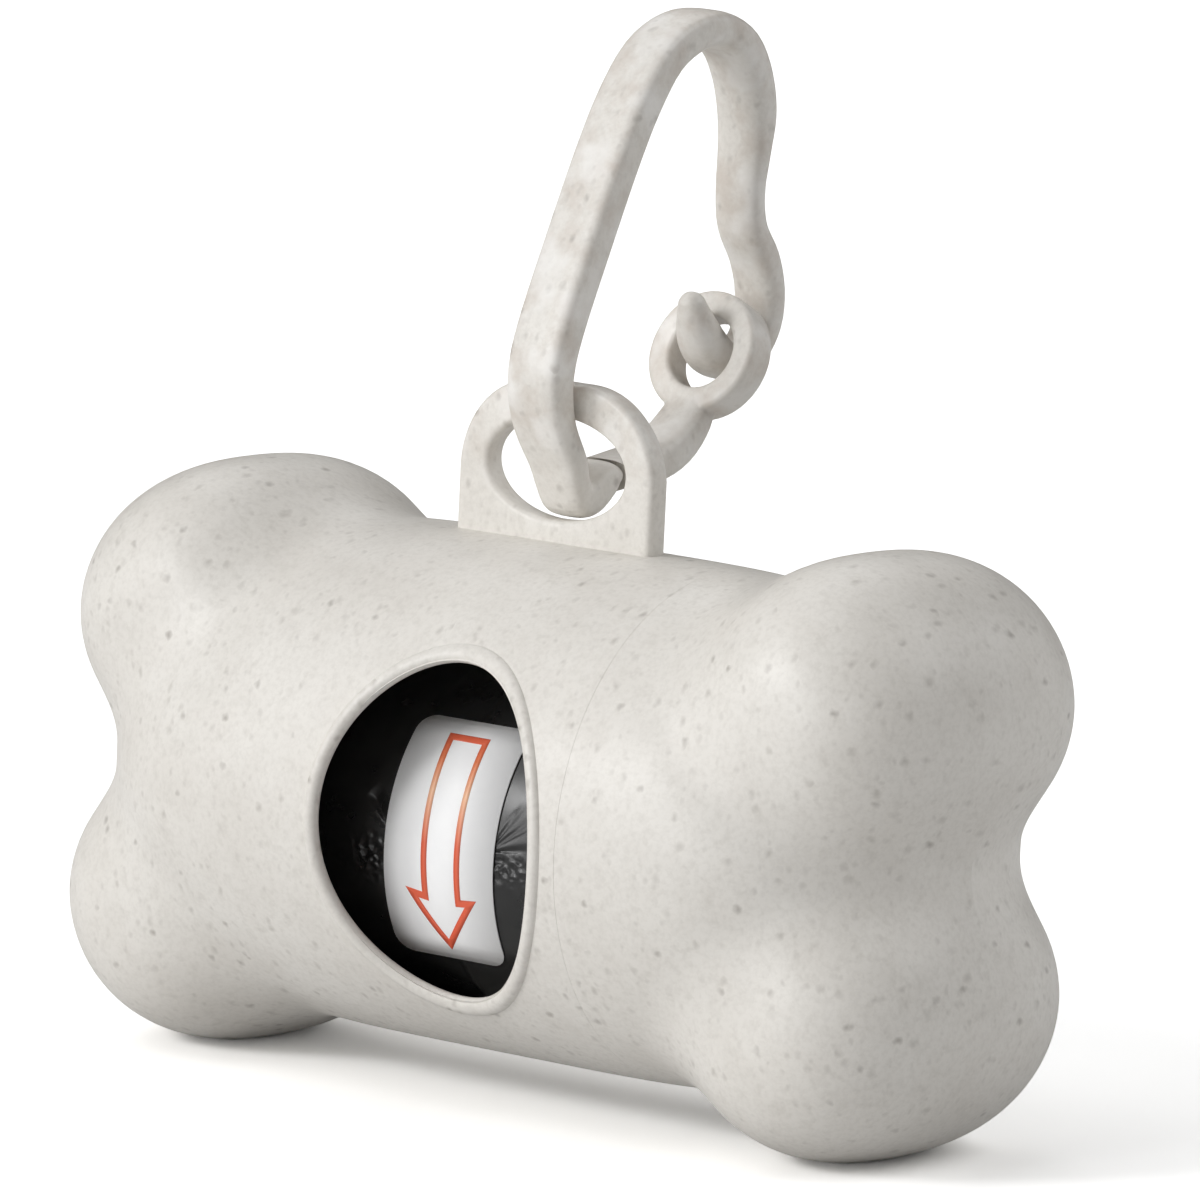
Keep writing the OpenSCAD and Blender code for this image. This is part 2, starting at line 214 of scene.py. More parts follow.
def arc_block(inner, outer, low_x, high_x, start, turn):
    """Part of a ring round the barrel, spun from angle start, where 0 is down and a quarter turn is the back."""
    bm = bmesh.new()
    flat = bmesh.ops.create_grid(bm, x_segments=1, y_segments=1, size=0.5)["verts"]
    bmesh.ops.rotate(bm, verts=flat, matrix=Matrix.Rotation(math.pi / 2, 3, "X"))
    bmesh.ops.scale(bm, verts=flat, vec=(high_x - low_x, 1, outer - inner))
    bmesh.ops.translate(bm, verts=flat, vec=((low_x + high_x) / 2, 0, -(inner + outer) / 2))
    bmesh.ops.rotate(bm, verts=flat, matrix=Matrix.Rotation(start, 3, "X"))
    bmesh.ops.spin(
        bm, geom=bm.verts[:] + bm.edges[:] + bm.faces[:], cent=(0, 0, 0), axis=(1, 0, 0),
        angle=turn, steps=WAY_SEGMENTS,
    )
    bmesh.ops.holes_fill(bm, edges=[e for e in bm.edges if e.is_boundary], sides=0)
    bmesh.ops.recalc_face_normals(bm, faces=bm.faces)
    bmesh.ops.translate(bm, verts=bm.verts, vec=AXIS)
    return finish_mesh(bm, "tool")


FAR = 60 * MM
shell = bone("shell")
cut(shell, block((SEAM_X, -FAR, -FAR), (FAR, FAR, FAR * 2)))
cut(shell, lying(BORE_R, -BORE_END, FAR))
cut(shell, lying(POCKET_R, -POCKET_END, 0, drop=BORE_R - POCKET_R))

# The window is an oval cut straight through the front wall. The wall is thinned behind its edge,
# and the rim is a low rolled bead.
WINDOW = Vector((2.5, 0.0, -0.6)) * MM
WINDOW_HALF = Vector((10.6, 0.0, 13.1)) * MM
BEAD_R = 0.6 * MM
BEAD_OUT = 0.48 * MM
BEAD_SINK = 0.28 * MM
RIM_SKIN = 0.6 * MM
RIM_WIDTH = 2.0 * MM
BEAD_STEPS = 160


def window_hole(out, low_y, high_y):
    """An oval bar through the front wall, that much wider all round than the window."""
    bm = bmesh.new()
    bmesh.ops.create_cone(
        bm, cap_ends=True, segments=BEAD_STEPS, radius1=1, radius2=1, depth=high_y - low_y
    )
    bmesh.ops.rotate(bm, verts=bm.verts, matrix=Matrix.Rotation(math.pi / 2, 3, "X"))
    bmesh.ops.scale(bm, verts=bm.verts, vec=(WINDOW_HALF.x + out, 1, WINDOW_HALF.z + out))
    bmesh.ops.translate(bm, verts=bm.verts, vec=AXIS + WINDOW + Vector((0, (low_y + high_y) / 2, 0)))
    return finish_mesh(bm, "tool")


def window_rim():
    """A ring spun from a round section, then stretched to the oval and laid on the barrel's curve."""
    bm = bmesh.new()
    section = bmesh.ops.create_circle(bm, segments=20, radius=BEAD_R)["verts"]
    bmesh.ops.rotate(bm, verts=section, matrix=Matrix.Rotation(math.pi / 2, 3, "X"))
    bmesh.ops.translate(bm, verts=section, vec=(1, 0, 0))
    bmesh.ops.spin(
        bm, geom=bm.verts[:] + bm.edges[:], cent=(0, 0, 0), axis=(0, 0, 1),
        angle=math.tau, steps=BEAD_STEPS, use_merge=True,
    )
    bmesh.ops.remove_doubles(bm, verts=bm.verts, dist=1e-7)
    for vert in bm.verts:
        x, y, lift = vert.co
        turn, out = math.atan2(y, x), math.hypot(x, y) - 1
        edge_x = (WINDOW_HALF.x + BEAD_OUT + out) * math.cos(turn)
        edge_z = (WINDOW_HALF.z + BEAD_OUT + out) * math.sin(turn)
        height = WINDOW.z + edge_z
        depth = math.sqrt(max((BARREL_R - BEAD_SINK) ** 2 - height**2, 1e-9))
        outward = Vector((0, -depth, height)).normalized()
        vert.co = AXIS + Vector((WINDOW.x + edge_x, -depth, height)) + outward * lift
    bmesh.ops.recalc_face_normals(bm, faces=bm.faces)
    return finish_mesh(bm, "tool")


cut(shell, window_hole(0, -FAR, 0))
thinning = window_hole(RIM_WIDTH, -FAR, 0)
cut(thinning, lying(BARREL_R - RIM_SKIN, -BORE_END, SEAM_X - 0.3 * MM), "INTERSECT")
cut(shell, thinning)
cut(shell, window_rim(), "UNION")

# The lug is a flat plate with an oval eye and rounded edges, that stands straight up out of the
# barrel's crest.
LUG_X = -1.4 * MM
LUG_HALF = 9.6 * MM
LUG_CORNER = 7.4 * MM
LUG_THICK = 2.2 * MM
LUG_FOOT = 18.8 * MM
EYE_Z = 25.65 * MM
EYE_HALF = (6.8 * MM, 4.0 * MM)
EDGE_ROUND = 0.5 * MM
LUG_STEPS = 128


def lug_reach(turn):
    """How far the lug's outline is from the middle of its eye. Turn 0 is +X, and a quarter turn is up."""
    c, s = math.cos(turn), math.sin(turn)
    up, down = LUG_TOP - EYE_Z, LUG_FOOT - EYE_Z
    straight = min(LUG_HALF / max(abs(c), 1e-6), (up if s > 0 else -down) / max(abs(s), 1e-6))
    if s <= 0:
        return straight
    corner = Vector((math.copysign(LUG_HALF - LUG_CORNER, c), up - LUG_CORNER))
    along = corner.x * c + corner.y * s
    inside = along * along - corner.length_squared + LUG_CORNER**2
    rounded = along + math.sqrt(max(inside, 0))
    beyond = abs(rounded * c) > abs(corner.x) and rounded * s > corner.y
    return rounded if beyond else straight


def lug_plate():
    """A flat ring between two circles, laid between the eye and the outline, then thickened."""
    bm = bmesh.new()
    bmesh.ops.create_circle(bm, segments=LUG_STEPS, radius=1)
    bmesh.ops.create_circle(bm, segments=LUG_STEPS, radius=0.5)
    bmesh.ops.bridge_loops(bm, edges=bm.edges[:])
    bmesh.ops.subdivide_edges(
        bm, edges=[e for e in bm.edges if not e.is_boundary], cuts=2, use_grid_fill=False
    )
    for vert in bm.verts:
        x, z = vert.co.x, vert.co.y
        turn, share = math.atan2(z, x), (math.hypot(x, z) - 0.5) / 0.5
        hole = 1 / math.hypot(math.cos(turn) / EYE_HALF[0], math.sin(turn) / EYE_HALF[1])
        reach = hole + (lug_reach(turn) - hole) * share
        vert.co = (reach * math.cos(turn), -LUG_THICK / 2, reach * math.sin(turn))
    grown = bmesh.ops.extrude_face_region(bm, geom=bm.faces[:])["geom"]
    bmesh.ops.translate(
        bm, verts=[g for g in grown if isinstance(g, bmesh.types.BMVert)], vec=(0, LUG_THICK, 0)
    )
    bmesh.ops.recalc_face_normals(bm, faces=bm.faces)
    corners = [e for e in bm.edges if len(e.link_faces) == 2 and e.calc_face_angle(0) > 1.0]
    bmesh.ops.bevel(
        bm, geom=corners, offset=EDGE_ROUND, segments=4, profile=0.5, affect="EDGES", material=-1
    )
    bmesh.ops.translate(bm, verts=bm.verts, vec=AXIS + Vector((LUG_X, 0, EYE_Z)))
    bmesh.ops.recalc_face_normals(bm, faces=bm.faces)
    return finish_mesh(bm, "tool")


cut(shell, lug_plate(), "UNION")
cut(shell, lying(BORE_R, -BORE_END + 1 * MM, FAR))

# The neck is a thin ring that stands out of the seam, with two studs for the cap's twist lock.
# It is moulded in one with the shell.
neck = lying(NECK_R, SEAM_X - 1.5 * MM, SEAM_X + NECK_LENGTH)
cut(neck, lying(BORE_R, SEAM_X - 3 * MM, SEAM_X + NECK_LENGTH + 3 * MM))
for side in (math.pi / 2, -math.pi / 2):
    stud = arc_block(
        NECK_R - 0.3 * MM, NECK_R + STUD_HEIGHT, STUD_X, STUD_X + STUD_LENGTH, side - STUD_HALF, 2 * STUD_HALF
    )
    cut(neck, stud, "UNION")
cut(shell, neck, "UNION")
cut(shell, block((-FAR, -FAR, -FAR), (FAR, FAR, 0)))
settle(shell)

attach(shell, "shell")
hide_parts("body_shell")


def noise_of(nodes, links, where, scale, detail=2.0, rough=0.5):
    tex = nodes.new("ShaderNodeTexNoise")
    tex.inputs["Scale"].default_value = scale
    tex.inputs["Detail"].default_value = detail
    tex.inputs["Roughness"].default_value = rough
    links.new(where, tex.inputs["Vector"])
    return tex.outputs["Fac"]


def ramp_of(nodes, links, value, low, high):
    """0 below low, 1 above high."""
    ramp = nodes.new("ShaderNodeMapRange")
    ramp.inputs["From Min"].default_value = low
    ramp.inputs["From Max"].default_value = high
    ramp.clamp = True
    links.new(value, ramp.inputs["Value"])
    return ramp.outputs["Result"]


def sum_of(nodes, links, operation, a, b):
    step = nodes.new("ShaderNodeMath")
    step.operation = operation
    for socket, value in zip(step.inputs, (a, b)):
        if isinstance(value, (int, float)):
            socket.default_value = value
        else:
            links.new(value, socket)
    return step.outputs["Value"]


def mix_of(nodes, links, share, a, b):
    mix = nodes.new("ShaderNodeMix")
    mix.data_type = "RGBA"
    for socket, value in ((mix.inputs["Factor"], share), (mix.inputs["A"], a), (mix.inputs["B"], b)):
        if isinstance(value, (tuple, float)):
            socket.default_value = value
        else:
            links.new(value, socket)
    return mix.outputs["Result"]


def flecks(nodes, links, where, cell, size, share, stretch=(1, 1, 1), turn=(0, 0, 0)):
    """Round or drawn-out specks, one in some of the cells of a Voronoi pattern, with soft edges: 1 in a speck."""
    place = nodes.new("ShaderNodeMapping")
    place.inputs["Scale"].default_value = stretch
    place.inputs["Rotation"].default_value = turn
    links.new(where, place.inputs["Vector"])
    cells = nodes.new("ShaderNodeTexVoronoi")
    cells.inputs["Scale"].default_value = 1 / cell
    links.new(place.outputs["Vector"], cells.inputs["Vector"])
    split = nodes.new("ShaderNodeSeparateColor")
    links.new(cells.outputs["Color"], split.inputs["Color"])
    near = ramp_of(nodes, links, cells.outputs["Distance"], size, size * 0.2)
    some = ramp_of(nodes, links, split.outputs["Red"], 1 - share, 1 - share * 0.4)
    return sum_of(nodes, links, "MULTIPLY", near, some)


def wobble(nodes, links, where, reach, scale):
    """The same places, each moved a little, so that round specks come out uneven."""
    tex = nodes.new("ShaderNodeTexNoise")
    tex.inputs["Scale"].default_value = scale
    tex.inputs["Detail"].default_value = 1.0
    links.new(where, tex.inputs["Vector"])
    shift = nodes.new("ShaderNodeVectorMath")
    shift.operation = "MULTIPLY_ADD"
    links.new(tex.outputs["Color"], shift.inputs[0])
    shift.inputs[1].default_value = (reach, reach, reach)
    links.new(where, shift.inputs[2])
    return shift.outputs["Vector"]


def straw_plastic():
    """Off-white plastic with faint clouding, many pale straw specks and a few dark ones. The thin clip is blotchier."""
    mat = bpy.data.materials.new("straw plastic")
    mat.use_nodes = True
    nodes, links = mat.node_tree.nodes, mat.node_tree.links
    skin = nodes["Principled BSDF"]
    where = nodes.new("ShaderNodeTexCoord").outputs["Object"]
    cloud = noise_of(nodes, links, where, 110, 3, 0.6)
    base = mix_of(
        nodes, links, ramp_of(nodes, links, cloud, 0.3, 0.7), (0.745, 0.715, 0.667, 1), (0.80, 0.775, 0.73, 1)
    )
    veils = ((260, 0.50, 0.80, 0.12), (1000, 0.54, 0.72, 0.20), (2300, 0.42, 0.72, 0.20))
    for scale, low, high, strength in veils:
        veil = ramp_of(nodes, links, noise_of(nodes, links, where, scale, 2, 0.6), low, high)
        base = mix_of(
            nodes, links, sum_of(nodes, links, "MULTIPLY", veil, strength), base, (0.50, 0.47, 0.42, 1)
        )
    split = nodes.new("ShaderNodeSeparateXYZ")
    links.new(where, split.inputs["Vector"])
    clip_only = ramp_of(nodes, links, split.outputs["Z"], 46 * MM, 52 * MM)
    blotches = (
        (330, 4, 0.62, 0.42, 0.66, (0.55, 0.475, 0.41, 1)),
        (250, 2, 0.50, 0.50, 0.62, (0.90, 0.885, 0.86, 1)),
    )
    for scale, detail, rough, low, high, colour in blotches:
        blotch = ramp_of(nodes, links, noise_of(nodes, links, where, scale, detail, rough), low, high)
        share = sum_of(nodes, links, "MULTIPLY", sum_of(nodes, links, "MULTIPLY", blotch, clip_only), 0.5)
        base = mix_of(nodes, links, share, base, colour)
    uneven = wobble(nodes, links, where, 0.5 * MM, 1400)
    layers = (
        (0.80 * MM, 0.38, 0.42, (1, 1, 0.8), (0.3, 0.2, 0.1), 0.26, (0.40, 0.37, 0.33, 1)),
        (1.15 * MM, 0.34, 0.34, (1, 0.55, 0.8), (0.9, 0.4, 0.2), 0.36, (0.33, 0.30, 0.26, 1)),
        (1.70 * MM, 0.24, 0.36, (1, 0.7, 1), (0.1, 0.7, 0.4), 0.50, (0.24, 0.21, 0.18, 1)),
    )
    for cell, size, share, stretch, turn, strength, colour in layers:
        speck = flecks(nodes, links, uneven, cell, size, share, stretch, turn)
        base = mix_of(nodes, links, sum_of(nodes, links, "MULTIPLY", speck, strength), base, colour)
    links.new(base, skin.inputs["Base Color"])
    gloss = ramp_of(nodes, links, noise_of(nodes, links, where, 420, 3, 0.6), 0.2, 0.8)
    rough = nodes.new("ShaderNodeMapRange")
    rough.inputs["To Min"].default_value = 0.36
    rough.inputs["To Max"].default_value = 0.44
    links.new(gloss, rough.inputs["Value"])
    links.new(rough.outputs["Result"], skin.inputs["Roughness"])
    bump = nodes.new("ShaderNodeBump")
    bump.inputs["Strength"].default_value = 0.25
    bump.inputs["Distance"].default_value = 0.03 * MM
    links.new(noise_of(nodes, links, where, 900, 3, 0.55), bump.inputs["Height"])
    links.new(bump.outputs["Normal"], skin.inputs["Normal"])
    return mat


straw = straw_plastic()
shell.data.materials.clear()
shell.data.materials.append(straw)

# The end cap is the other pair of lobes, moulded of the same plastic. Its socket turns on the
# shell's neck, and two L-shaped ways in the socket take the studs, so a short twist locks it.
SOCKET_GAP = 0.06 * MM
WAY_GAP = 0.1 * MM
WAY_SLACK = 0.007

cap = bone("cap")
cut(cap, block((-FAR, -FAR, -FAR), (SEAM_X + SEAM_GAP, FAR, FAR * 2)))
cut(cap, lying(BORE_R, 0, CAP_BORE_END))
cut(cap, lying(NECK_R + SOCKET_GAP, 0, SEAM_X + NECK_LENGTH + 0.05 * MM))
way_r = NECK_R + STUD_HEIGHT + WAY_GAP
for side in (math.pi / 2, -math.pi / 2):
    low = side - TWIST - STUD_HALF - WAY_SLACK
    round_way = arc_block(
        NECK_R - 1 * MM, way_r, STUD_X - WAY_GAP, STUD_X + STUD_LENGTH + WAY_GAP, low, TWIST + 2 * STUD_HALF + 0.012
    )
    cut(cap, round_way)
    straight_way = arc_block(
        NECK_R - 1 * MM, way_r, SEAM_X - 1 * MM, STUD_X + 1 * MM, low, 2 * STUD_HALF + 2 * WAY_SLACK
    )
    cut(cap, straight_way)
cut(cap, block((-FAR, -FAR, -FAR), (FAR, FAR, 0)))
settle(cap)
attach(cap, "cap")
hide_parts("end_cap")
cap.data.materials.clear()
cap.data.materials.append(straw)

# The snap clip is moulded of the same plastic: a flat bar bent into a loop, thinner and rounder
# down its second side, which ends in a hook. Its parting edges are well rounded, and the bar
# swells a little where a finger pushes it.
CLIP_X = LUG_X
KNUCKLE = Vector((0, 4.0, 24.7)) * MM
BAR_SEGMENTS = 40
TIP_DOME = 1.3
TIP_LEANS = (0.5, 0.9, 1.2, 1.42)
CLIP_VOXEL = 0.14 * MM
MOULD_ROUNDS = 4

# Centre line from the knuckle to the hook, in mm: y, z, width across, thickness, and squareness
FRAME_LINE = (
    (5.0, 24.85, 3.9, 1.5, 2.4), (4.0, 24.7, 4.4, 2.6, 3.0), (2.3, 23.4, 4.45, 2.8, 3.2), (0.95, 23.2, 4.4, 2.8, 3.4),
    (0.05, 24.4, 4.5, 2.5, 3.6), (-0.7, 26.2, 4.8, 2.6, 4.0), (-2.35, 28.8, 4.9, 2.75, 4.6),
    (-3.15, 31.4, 4.95, 3.0, 5.0), (-3.1, 34.0, 5.0, 3.1, 5.2), (-2.0, 37.3, 5.0, 3.1, 5.4),
    (0.65, 43.15, 5.0, 3.1, 5.4), (3.5, 49.15, 5.0, 3.1, 5.2), (5.95, 53.55, 5.0, 3.1, 5.0),
    (8.75, 57.0, 5.0, 3.0, 4.6), (12.25, 58.75, 5.0, 2.95, 4.0), (15.5, 58.85, 4.9, 2.9, 3.4),
    (18.2, 57.5, 5.1, 3.15, 3.0), (19.9, 54.9, 5.0, 3.4, 2.8), (20.65, 52.0, 4.85, 3.3, 2.8),
    (20.55, 49.0, 4.5, 2.7, 2.8), (20.3, 46.0, 4.25, 2.4, 2.8), (20.75, 43.15, 4.2, 2.6, 2.8),
    (22.45, 40.6, 4.2, 2.8, 2.8), (23.35, 38.0, 4.2, 2.7, 2.8), (23.2, 35.4, 4.1, 2.6, 2.8),
    (21.85, 33.35, 3.9, 2.6, 2.8), (19.8, 32.65, 3.9, 2.9, 2.6), (18.05, 33.0, 4.1, 3.2, 2.6),
    (16.65, 34.1, 3.9, 3.3, 2.5), (15.65, 35.55, 3.3, 3.0, 2.4), (15.0, 37.1, 2.4, 2.2, 2.2),
)


def smooth_line(line, steps):
    """Points of a Catmull-Rom curve through a line of tuples, with every value eased alike."""
    rows = [Vector(row) for row in (line[0], *line, line[-1])]
    points = []
    for a, b, c, d in zip(rows, rows[1:], rows[2:], rows[3:]):
        for k in range(steps):
            s = k / steps
            points.append(
                0.5 * (2 * b + (c - a) * s + (2 * a - 5 * b + 4 * c - d) * s**2 + (3 * b - a - 3 * c + d) * s**3)
            )
    return points + [rows[-1]]


def bar(line, steps=4, dome=0.0):
    """A closed bar, extruded ring by ring along a line in the clip's plane. Its last end may be domed."""
    bm = bmesh.new()
    path = smooth_line(line, steps)
    ring = bmesh.ops.create_circle(bm, segments=BAR_SEGMENTS, radius=1)["verts"]
    first = list(ring)
    unit = [Vector(v.co.xy) for v in ring]
    stations = []
    for i, row in enumerate(path):
        back, ahead = path[max(0, i - 1)], path[min(len(path) - 1, i + 1)]
        heading = Vector((0, ahead[0] - back[0], ahead[1] - back[1])).normalized()
        stations.append((Vector((0, row[0], row[1])) * MM, heading, row[2] * MM, row[3] * MM, row[4]))
    if dome:
        spot, heading, wide, thick, power = stations[-1]
        for lean in TIP_LEANS:
            shrink = math.cos(lean)
            stations.append(
                (spot + heading * dome * MM * math.sin(lean), heading, wide * shrink, thick * shrink, power)
            )
    for number, (spot, heading, wide, thick, power) in enumerate(stations):
        if number:
            edges = [e for e in bm.edges if e.verts[0] in ring and e.verts[1] in ring]
            grown = bmesh.ops.extrude_edge_only(bm, edges=edges)["geom"]
            fresh = [g for g in grown if isinstance(g, bmesh.types.BMVert)]
            ring = [min(fresh, key=lambda f: (f.co - old.co).length_squared) for old in ring]
        across = Vector((0, -heading.z, heading.y))
        for vert, (u, v) in zip(ring, unit):
            size = (abs(u) ** power + abs(v) ** power) ** (-1 / power)
            vert.co = spot + Vector((u * size * wide / 2, 0, 0)) + across * (v * size * thick / 2)
    bmesh.ops.contextual_create(bm, geom=first)
    bmesh.ops.contextual_create(bm, geom=ring)
    bmesh.ops.translate(bm, verts=bm.verts, vec=AXIS + Vector((CLIP_X, 0, 0)))
    bmesh.ops.recalc_face_normals(bm, faces=bm.faces)
    return finish_mesh(bm, "tool")


def soften(piece, voxel, rounds):
    """Remeshes a moulded piece finely and relaxes it, so that its joints run together as in a mould."""
    remesh = piece.modifiers.new("remesh", "REMESH")
    remesh.mode, remesh.voxel_size = "VOXEL", voxel
    relax = piece.modifiers.new("relax", "SMOOTH")
    relax.factor, relax.iterations = 0.5, rounds
    shaped = piece.evaluated_get(bpy.context.evaluated_depsgraph_get())
    mesh = bpy.data.meshes.new_from_object(shaped)
    piece.modifiers.clear()
    piece.data = mesh
    mesh.name = piece.name
    return settle(piece, 60)


clip = bar(FRAME_LINE, dome=TIP_DOME)
clip.name = "clip"
soften(clip, CLIP_VOXEL, MOULD_ROUNDS)
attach(clip, "clip")
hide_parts("clip_frame")
clip.data.materials.clear()
clip.data.materials.append(straw)

# The clip's gate is the springy arm of the same moulding. It starts at a thin bend in the lug's
# eye and ends in a ring that snaps over the hook, so it turns about that bend.
GATE_LINE = (
    (4.0, 24.7, 4.4, 2.6, 3.0), (6.6, 25.0, 4.5, 2.7, 3.0), (9.5, 25.3, 4.6, 3.1, 3.2),
    (12.5, 26.4, 4.6, 3.2, 3.2), (14.8, 28.4, 4.4, 2.7, 3.0), (15.95, 30.5, 3.7, 1.6, 2.6),
)
RING_AT = Vector((0, 17.45, 33.15)) * MM
RING_R = 5.0 * MM
RING_HOLE = 2.95 * MM
RING_DEEP = 2.8 * MM
RING_TILT = math.radians(23.5)
RING_ROUND = 0.4 * MM
GATE_VOXEL = 0.13 * MM
KNUCKLE_R = 1.42 * MM


def gate_ring():
    """A square section with its corners bevelled, spun round the ring's axis."""
    bm = bmesh.new()
    bmesh.ops.create_grid(bm, x_segments=1, y_segments=1, size=0.5)
    bmesh.ops.scale(bm, verts=bm.verts, vec=(RING_R - RING_HOLE, RING_DEEP, 1))
    bmesh.ops.bevel(
        bm, geom=bm.verts[:] + bm.edges[:], offset=RING_ROUND, segments=5, profile=0.5,
        affect="VERTICES", material=-1,
    )
    bmesh.ops.delete(bm, geom=bm.faces[:], context="FACES_ONLY")
    bmesh.ops.translate(bm, verts=bm.verts, vec=((RING_R + RING_HOLE) / 2, 0, 0))
    bmesh.ops.spin(
        bm, geom=bm.verts[:] + bm.edges[:], cent=(0, 0, 0), axis=(0, 1, 0),
        angle=math.tau, steps=96, use_merge=True,
    )
    bmesh.ops.remove_doubles(bm, verts=bm.verts, dist=1e-7)
    bmesh.ops.rotate(bm, verts=bm.verts, matrix=Matrix.Rotation(-RING_TILT, 3, "X"))
    bmesh.ops.translate(bm, verts=bm.verts, vec=AXIS + Vector((CLIP_X, 0, 0)) + RING_AT)
    bmesh.ops.recalc_face_normals(bm, faces=bm.faces)
    return finish_mesh(bm, "tool")


def clip_pin(radius, half, at, tilt=0.0):
    """A round pin across the clip, or along the ring's axis, to cut with."""
    bm = bmesh.new()
    bmesh.ops.create_cone(bm, cap_ends=True, segments=96, radius1=radius, radius2=radius, depth=2 * half)
    turn = Matrix.Rotation(math.pi / 2 - tilt, 3, "X") if tilt else Matrix.Rotation(math.pi / 2, 3, "Y")
    bmesh.ops.rotate(bm, verts=bm.verts, matrix=turn)
    bmesh.ops.translate(bm, verts=bm.verts, vec=AXIS + Vector((CLIP_X, 0, 0)) + at)
    return finish_mesh(bm, "tool")


gate = bar(GATE_LINE)
gate.name = "gate"
cut(gate, clip_pin(RING_HOLE, 4 * MM, RING_AT, RING_TILT))
cut(gate, gate_ring(), "UNION")
soften(gate, GATE_VOXEL, MOULD_ROUNDS)
cut(gate, clip_pin(KNUCKLE_R, 6 * MM, KNUCKLE))
settle(gate, 60)
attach(gate, "gate")
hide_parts("clip_gate")
gate.data.materials.clear()
gate.data.materials.append(straw)

# The roll of bags is thin glossy black film, folded lengthwise and wound on a card core. The
# tight band of the label gathers it, so that creases fan out to both sides.
roll_low, roll_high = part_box("bag_roll")
ROLL_AT = (roll_low + roll_high) / 2
ROLL_R = (roll_high.z - roll_low.z) / 2
ROLL_HALF = (roll_high.x - roll_low.x) / 2
CORE_R = 6.5 * MM
label_low, label_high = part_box("roll_label")
LABEL_MID = (label_low.x + label_high.x) / 2
LABEL_HALF = (label_high.x - label_low.x) / 2
FILM_END = 0.9 * MM
FILM_ALONG = 177
FILM_ROUND = 360
FRONT_CROWD = 0.72
CREASE_SKIN = 1.5 * MM

# Folds that fan out to the label's right: angle and width in degrees, and how deep each is
FAN = ((60, 4.2, 1.0), (43, 3.8, 1.0), (32, 2.8, 0.7), (9, 7.0, 1.6))
# The one fold to its left: where it starts, in mm beside the label and up the roll, and its lean
FOLD_AT = (0.2, 1.6)
FOLD_LEAN = (0.757, 0.654)


def bag_film():
    mat = bpy.data.materials.new("bag film")
    mat.use_nodes = True
    nodes, links = mat.node_tree.nodes, mat.node_tree.links
    skin = nodes["Principled BSDF"]
    where = nodes.new("ShaderNodeTexCoord").outputs["Object"]
    haze = ramp_of(nodes, links, noise_of(nodes, links, where, 260, 3, 0.6), 0.35, 0.7)
    black = mix_of(nodes, links, haze, (0.010, 0.010, 0.010, 1), (0.016, 0.016, 0.016, 1))
    links.new(black, skin.inputs["Base Color"])
    rough = nodes.new("ShaderNodeMapRange")
    rough.inputs["To Min"].default_value = 0.26
    rough.inputs["To Max"].default_value = 0.34
    links.new(haze, rough.inputs["Value"])
    links.new(rough.outputs["Result"], skin.inputs["Roughness"])
    skin.inputs["IOR"].default_value = 1.55
    return mat


def bell(value, middle, width):
    """1 at the middle, easing to 0 on both sides."""
    return math.exp(-(((value - middle) / width) ** 2))


def film_crease(along, turn):
    """How deep the film lies below the roll. Along is from the label's middle, and turn is up the roll."""
    side = 1 if along > 0 else -1
    aside = abs(along) / MM - LABEL_HALF / MM
    up = ROLL_R / MM * turn
    spot = Vector((side * aside, up, 7 * side))
    small = abs(noise.noise(spot * 1.1)) + 0.4 * abs(noise.noise(spot * 2.3))
    if side > 0:
        depth = 0.05 + 0.9 * (1 - math.exp(-max(aside, 0) / 5.5))
        far = math.hypot(aside + 0.5, up - 1.2)
        spread = math.degrees(math.atan2(up - 1.2, aside + 0.5))
        fan = sum(deep * bell(spread, middle, width) for middle, width, deep in FAN)
        depth += 0.10 * fan * min(1, far / 0.9) * bell(far, 1.2, 2.8)
        depth += 0.36 * small * bell(up, 0, 1.1) * bell(aside, 1.0, 2.2)
    else:
        depth = 0.05 + 0.35 * math.exp(-max(aside, 0) / 3.5)
        near, rise = aside - FOLD_AT[0], up - FOLD_AT[1]
        out = near * FOLD_LEAN[0] + rise * FOLD_LEAN[1]
        off = rise * FOLD_LEAN[0] - near * FOLD_LEAN[1]
        wide = 0.05 + 0.14 * max(out, 0)
        fold = min(max(off, 0) / wide, 1) - max(0, min(1, (off - wide) / 1.2))
        depth += 0.8 * wide * max(fold, 0) * max(0, min(1, out / 0.3)) * max(0, min(1, (3.3 - out) / 0.7))
        depth += 0.45 * small * bell(up, -0.8, 1.7) * bell(aside, 1.4, 2.2)
    wave = noise.noise(Vector((along / MM * 0.25, up * 0.2, 3)))
    return (depth + 0.10 * max(0, min(1, aside)) * wave) * MM


